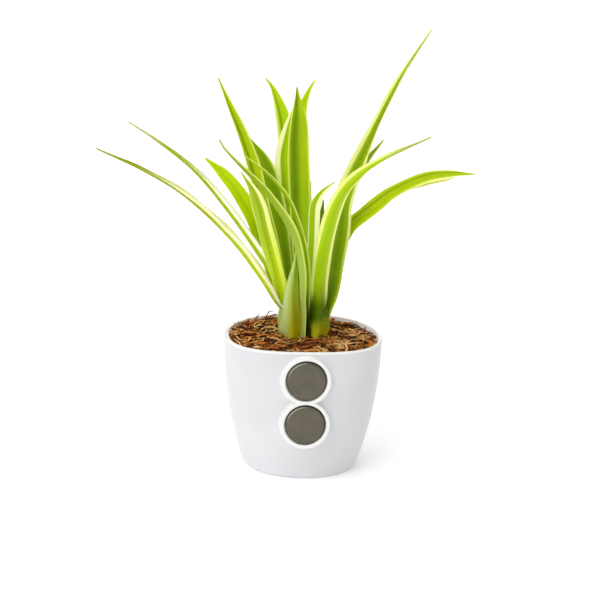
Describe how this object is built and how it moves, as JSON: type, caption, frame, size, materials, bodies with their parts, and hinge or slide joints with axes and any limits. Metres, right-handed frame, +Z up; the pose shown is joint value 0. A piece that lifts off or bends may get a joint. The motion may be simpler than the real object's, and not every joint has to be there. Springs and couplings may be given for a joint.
{
  "type": "potted spider plant",
  "caption": "Young variegated spider plant with long arching leaves, growing in coconut fibre in a small round pot whose flattened front carries disc magnets.",
  "frame": {"origin": "middle of the pot's underside, on the surface it stands on", "axes": "+Z up, -Y the flattened front with the magnets, +X to the right as seen from the front"},
  "size_m": [0.1868, 0.0887, 0.2183],
  "materials": {
    "pot": "smooth moulded white plastic, satin gloss",
    "magnet": "dull grey-brown magnet face, satin",
    "coir": "matted coconut fibre, matt",
    "coir_strand": "loose coconut fibre, matt",
    "crown": "smooth waxy leaf base, pale green",
    "leaf": "smooth waxy leaf, green with cream margins"
  },
  "bodies": {
    "root": {"pot": "pot", "magnet_upper": "magnet", "magnet_lower": "magnet", "coir_growing_medium": "coir", "coir_strand_1": "coir_strand", "coir_strand_2": "coir_strand", "coir_strand_3": "coir_strand", "coir_strand_4": "coir_strand", "coir_strand_5": "coir_strand", "coir_strand_6": "coir_strand", "coir_strand_7": "coir_strand", "coir_strand_8": "coir_strand", "coir_strand_loop": "coir_strand", "crown_left": "crown", "crown_right": "crown", "leaf_front_sheath": "leaf", "leaf_front_arch": "leaf", "leaf_right_front": "leaf", "leaf_front_thin": "leaf", "leaf_left_bright": "leaf", "leaf_left_low": "leaf", "leaf_left_mid": "leaf", "leaf_left_tall": "leaf", "leaf_left_short": "leaf", "leaf_left_broad": "leaf", "leaf_centre_small": "leaf", "leaf_right_tall": "leaf", "leaf_centre_sliver": "leaf", "leaf_centre_broad": "leaf", "leaf_right_low": "leaf", "leaf_centre_pale": "leaf", "leaf_centre_cream": "leaf", "leaf_right_dark": "leaf", "leaf_back_left": "leaf", "leaf_back_right": "leaf"}
  },
  "joints": []
}
